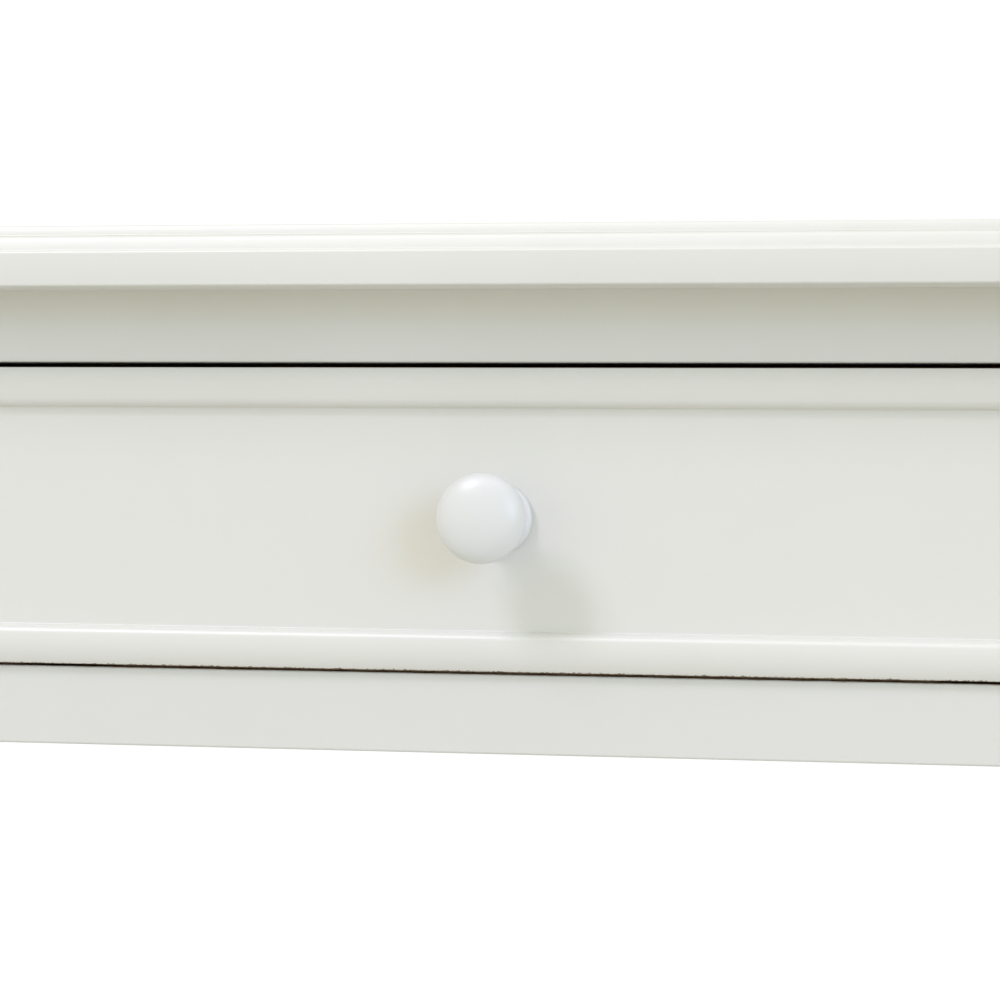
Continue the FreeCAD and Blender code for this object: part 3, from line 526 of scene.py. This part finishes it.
# ---- Knobs ---------------------------------------------------------------------------------------
def knob_outline():
    """Half of the knob's section as (radius, reach) in mm, from the panel to the front's centre."""
    centre = KNOB_FOOT_R - KNOB_FOOT_ROUND
    points = [(0.0, 0.0)]
    points += arc((centre, KNOB_FOOT_ROUND), KNOB_FOOT_ROUND, -60, 0, 5)
    points += arc((centre, KNOB_FOOT_T - KNOB_FOOT_ROUND), KNOB_FOOT_ROUND, 0, 90, 7)
    start = (KNOB_COVE_R, KNOB_FOOT_T)
    points.append(start)
    for end, leaving, arriving, steps in KNOB_CURVES:
        first = (start[0] + leaving[0], start[1] + leaving[1])
        second = (end[0] + arriving[0], end[1] + arriving[1])
        points += bezier(start, first, second, end, steps)[1:]
        start = end
    radius, rim = KNOB_RIM
    for i in range(1, KNOB_DOME_STEPS + 1):
        angle = math.radians(90 * i / KNOB_DOME_STEPS)
        points.append((radius * math.cos(angle), rim + (KNOB_REACH - rim) * math.sin(angle)))
    return points


def make_knob(side, material):
    low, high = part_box(f"drawer_{side}_knob")
    centre = (low.x + high.x) / 2
    bm = bmesh.new()
    outline = knob_outline()
    loops = []
    for radius, reach in outline[1:-1]:
        loop = []
        for i in range(KNOB_SEGMENTS):
            angle = 2 * math.pi * i / KNOB_SEGMENTS
            x = centre + radius * MM * math.cos(angle)
            z = KNOB_Z + radius * MM * math.sin(angle)
            loop.append(bm.verts.new((x, PANEL_FACE - reach * MM, z)))
        loops.append(loop)
    bridge(bm, loops, False)
    for pole, loop in ((outline[0], loops[0]), (outline[-1], loops[-1])):
        tip = bm.verts.new((centre, PANEL_FACE - pole[1] * MM, KNOB_Z))
        for i in range(KNOB_SEGMENTS):
            bm.faces.new((tip, loop[i], loop[(i + 1) % KNOB_SEGMENTS]))
    knob = finish_mesh(f"{side}_turned_knob", bm, material, 50)
    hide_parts(f"drawer_{side}_knob")
    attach(knob, f"drawer_{side}")


# ---- Finishes of the pieces that keep their own meshes -------------------------------------------
INNER_FACE = 0.9 * MM  # paint stops this far from an unpainted inner face
FRONT_INNER_FACE = 1.6 * MM  # and here on a drawer front
UNDER_RAIL_PAINT = 14 * MM  # width of the paint on the upper rail's underside
STILE_PAINT = 2.9 * MM  # and on the stile's sides
RUBBED = 0.2 * MM  # height of an edge that the drawer rubs


def part_painted_nodes():
    """The grain, and the tests of where it is bare, for each node that is painted in part."""
    rubbed_top = ("Z", 1, LOWER_HIGH.z - RUBBED)
    tests = {
        "rail_upper": ("X", [("Y", 1, RAIL_LOW.y + UNDER_RAIL_PAINT)]),
        "rail_lower": ("X", [("Y", 1, RAIL_HIGH.y - INNER_FACE), rubbed_top]),
        "centre_stile": ("Z", [("Y", 1, LOWER_LOW.y + STILE_PAINT)]),
        "apron_back": ("X", [("Y", -1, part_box("apron_back")[0].y + INNER_FACE)]),
        "apron_right": ("Y", [("X", -1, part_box("apron_right")[0].x + INNER_FACE)]),
        "apron_left": ("Y", [("X", 1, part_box("apron_left")[1].x - INNER_FACE)]),
    }
    for side in SIDES:
        tests[f"drawer_{side}_front"] = ("X", [("Y", 1, FRONT_HIGH.y - FRONT_INNER_FACE)])
    return tests


def finish_nodes(paint_all):
    bare_tests = part_painted_nodes()
    woods = {
        "X": wood("bare_wood_x", "X"),
        "Y": wood("bare_wood_y", "Y"),
        "Z": wood("bare_wood_z", "Z"),
    }
    slot_materials = {
        "satin_paint": paint_all,
        "plywood": wood("plywood_face", "X", PLYWOOD),
        "screw_steel": steel("plated_steel"),
        "glide_nylon": nylon("glide_nylon_grey"),
    }
    for entry in frame["record"]["subparts"]:
        name, slot = entry["node"], entry["material_slot"]
        obj = frame["nodes"][name]
        if name in bare_tests:
            grain, tests = bare_tests[name]
            # the lower rail gets the darker paint, which is painted shade
            colours = LOWER_RAIL_SHADED_PAINT if name == "rail_lower" else HOUSE_PAINT
            material = part_painted(f"{name}_finish", grain, tests, colours)
        elif slot == "raw_wood":
            low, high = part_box(name)
            extents = [high[i] - low[i] for i in range(3)]
            material = woods["XYZ"[extents.index(max(extents))]]
        else:
            material = slot_materials.get(slot, paint_all)
        obj.data.materials.clear()
        obj.data.materials.append(material)


# ---- Studio --------------------------------------------------------------------------------------
ROOM_TINT = (1.050, 1.052, 0.845)
ROOM_LIGHT = (("Z", 1, 0.38), ("Y", -1, 0.53), ("Y", 1, 0.53), ("X", -1, 0.60), ("X", 1, 0.76))
BACKGROUND = 1.05  # how bright the plain white behind the desk is
FLOOR_RADIUS = 1.9


def sun(name, towards, colour, strength, angle):
    """A soft far light that shines from that direction; its angle is how wide it looks."""
    data = bpy.data.lights.new(name, "SUN")
    data.color = colour
    data.energy = strength
    data.angle = math.radians(angle)
    obj = bpy.data.objects.new(name, data)
    obj.rotation_euler = Vector(towards).to_track_quat("Z", "Y").to_euler()
    bpy.context.scene.collection.objects.link(obj)
    return obj


def make_world():
    """Soft light that differs by side, and plain white behind the desk. A share of the room's
    light is (axis, sign, strength): light from that side."""
    world = bpy.data.worlds.new("studio")
    bpy.context.scene.world = world
    world.use_nodes = True
    tree = world.node_tree
    source = tree.nodes.new("ShaderNodeTexCoord")
    split = tree.nodes.new("ShaderNodeSeparateXYZ")
    tree.links.new(source.outputs["Generated"], split.inputs["Vector"])
    level = None
    for axis, sign, strength in ROOM_LIGHT:
        towards = math_node(tree, "MULTIPLY", split.outputs[axis], sign)
        part = math_node(tree, "MULTIPLY", math_node(tree, "MAXIMUM", towards, 0.0), strength)
        level = part if level is None else math_node(tree, "ADD", level, part)
    light = tree.nodes["Background"]
    light.inputs["Color"].default_value = (*ROOM_TINT, 1.0)
    tree.links.new(level, light.inputs["Strength"])
    seen = tree.nodes.new("ShaderNodeBackground")
    seen.inputs["Color"].default_value = (1.0, 1.0, 1.0, 1.0)
    seen.inputs["Strength"].default_value = BACKGROUND
    path = tree.nodes.new("ShaderNodeLightPath")
    mixer = tree.nodes.new("ShaderNodeMixShader")
    tree.links.new(path.outputs["Is Camera Ray"], mixer.inputs["Fac"])
    tree.links.new(light.outputs["Background"], mixer.inputs[1])
    tree.links.new(seen.outputs["Background"], mixer.inputs[2])
    tree.links.new(mixer.outputs["Shader"], tree.nodes["World Output"].inputs["Surface"])


def make_floor():
    """A plain pale disc, which isn't part of the desk."""
    bm = bmesh.new()
    bmesh.ops.create_circle(bm, cap_ends=True, segments=96, radius=FLOOR_RADIUS)
    material, tree, principled = shader("pale_floor", FLOOR_SPECULAR)
    principled.inputs["Roughness"].default_value = 0.7
    tone = noise_texture(tree, coordinates(tree), 5.0, 4.0)
    tree.links.new(mix_colour(tree, tone, *FLOOR_TONES), principled.inputs["Base Color"])
    mesh = bpy.data.meshes.new("floor")
    bm.to_mesh(mesh)
    bm.free()
    mesh.materials.append(material)
    floor = bpy.data.objects.new("floor", mesh)
    bpy.context.scene.collection.objects.link(floor)


CAMERA_DISTANCE = 1.620
CAMERA_TURN = 15.5  # degrees to the left of straight at the desk
CAMERA_PITCH = 0.23
CAMERA_ROLL = 0.6
CAMERA_LENS = 165.0
CAMERA_ASIDE = 0.32 * MM  # the picture's middle is this far to the right of the knob
CAMERA_HEIGHT = FRONT_LOW.z + 54.2 * MM


def make_camera():
    """A long lens level with the right-hand knob, seen from a little to its right."""
    turn = math.radians(CAMERA_TURN)
    pitch = math.radians(CAMERA_PITCH)
    flat = Vector((-math.sin(turn), math.cos(turn), 0))
    forward = flat * math.cos(pitch) + Vector((0, 0, math.sin(pitch)))
    right = forward.cross(Vector((0, 0, 1))).normalized()
    up = right.cross(forward)
    knob_x = (KNOB_LOW.x + KNOB_HIGH.x) / 2
    aim = Vector((knob_x, PANEL_FACE, CAMERA_HEIGHT)) + right * CAMERA_ASIDE
    data = bpy.data.cameras.new("camera")
    data.lens = CAMERA_LENS
    data.sensor_width = 36.0
    camera = bpy.data.objects.new("camera", data)
    basis = Matrix((right, up, -forward)).transposed()
    roll = Matrix.Rotation(math.radians(CAMERA_ROLL), 3, "Z")
    camera.matrix_world = Matrix.Translation(aim - flat * CAMERA_DISTANCE) @ (basis @ roll).to_4x4()
    bpy.context.scene.collection.objects.link(camera)
    bpy.context.scene.camera = camera


# ---- Build ---------------------------------------------------------------------------------------
house_paint = paint("satin_house_paint", HOUSE_PAINT, PAINT_SPECULAR)
knob_paint = paint("satin_knob_paint", KNOB_PAINT, KNOB_SPECULAR, 0.6)
rubbed = [("Z", -1, FRONT_LOW.z + RUBBED)]
bead_paint = part_painted("rubbed_bead_paint", "X", rubbed, HOUSE_PAINT, CRUMBLING_EDGE, WORN_WOOD)
finish_nodes(house_paint)
make_tabletop(house_paint)
for side_name in SIDES:
    make_beading(side_name, bead_paint, BEADING_SEEDS[side_name])
    make_knob(side_name, knob_paint)

make_floor()
make_camera()
make_world()
sun("key_light", (-0.89, -1.0, 1.46), (0.867, 0.808, 1.0), 1.09, 17.0)
sun("fill_light", (0.98, -1.0, 0.37), (0.402, 0.542, 1.0), 0.82, 22.0)
sheen_light = sun("sheen_light", (-0.1, -0.27, 1.0), (0.98, 0.98, 1.0), 0.95, 60.0)
sheen_light.visible_diffuse = False  # it only shows in the paint's gloss
bpy.context.scene.view_settings.view_transform = "Standard"
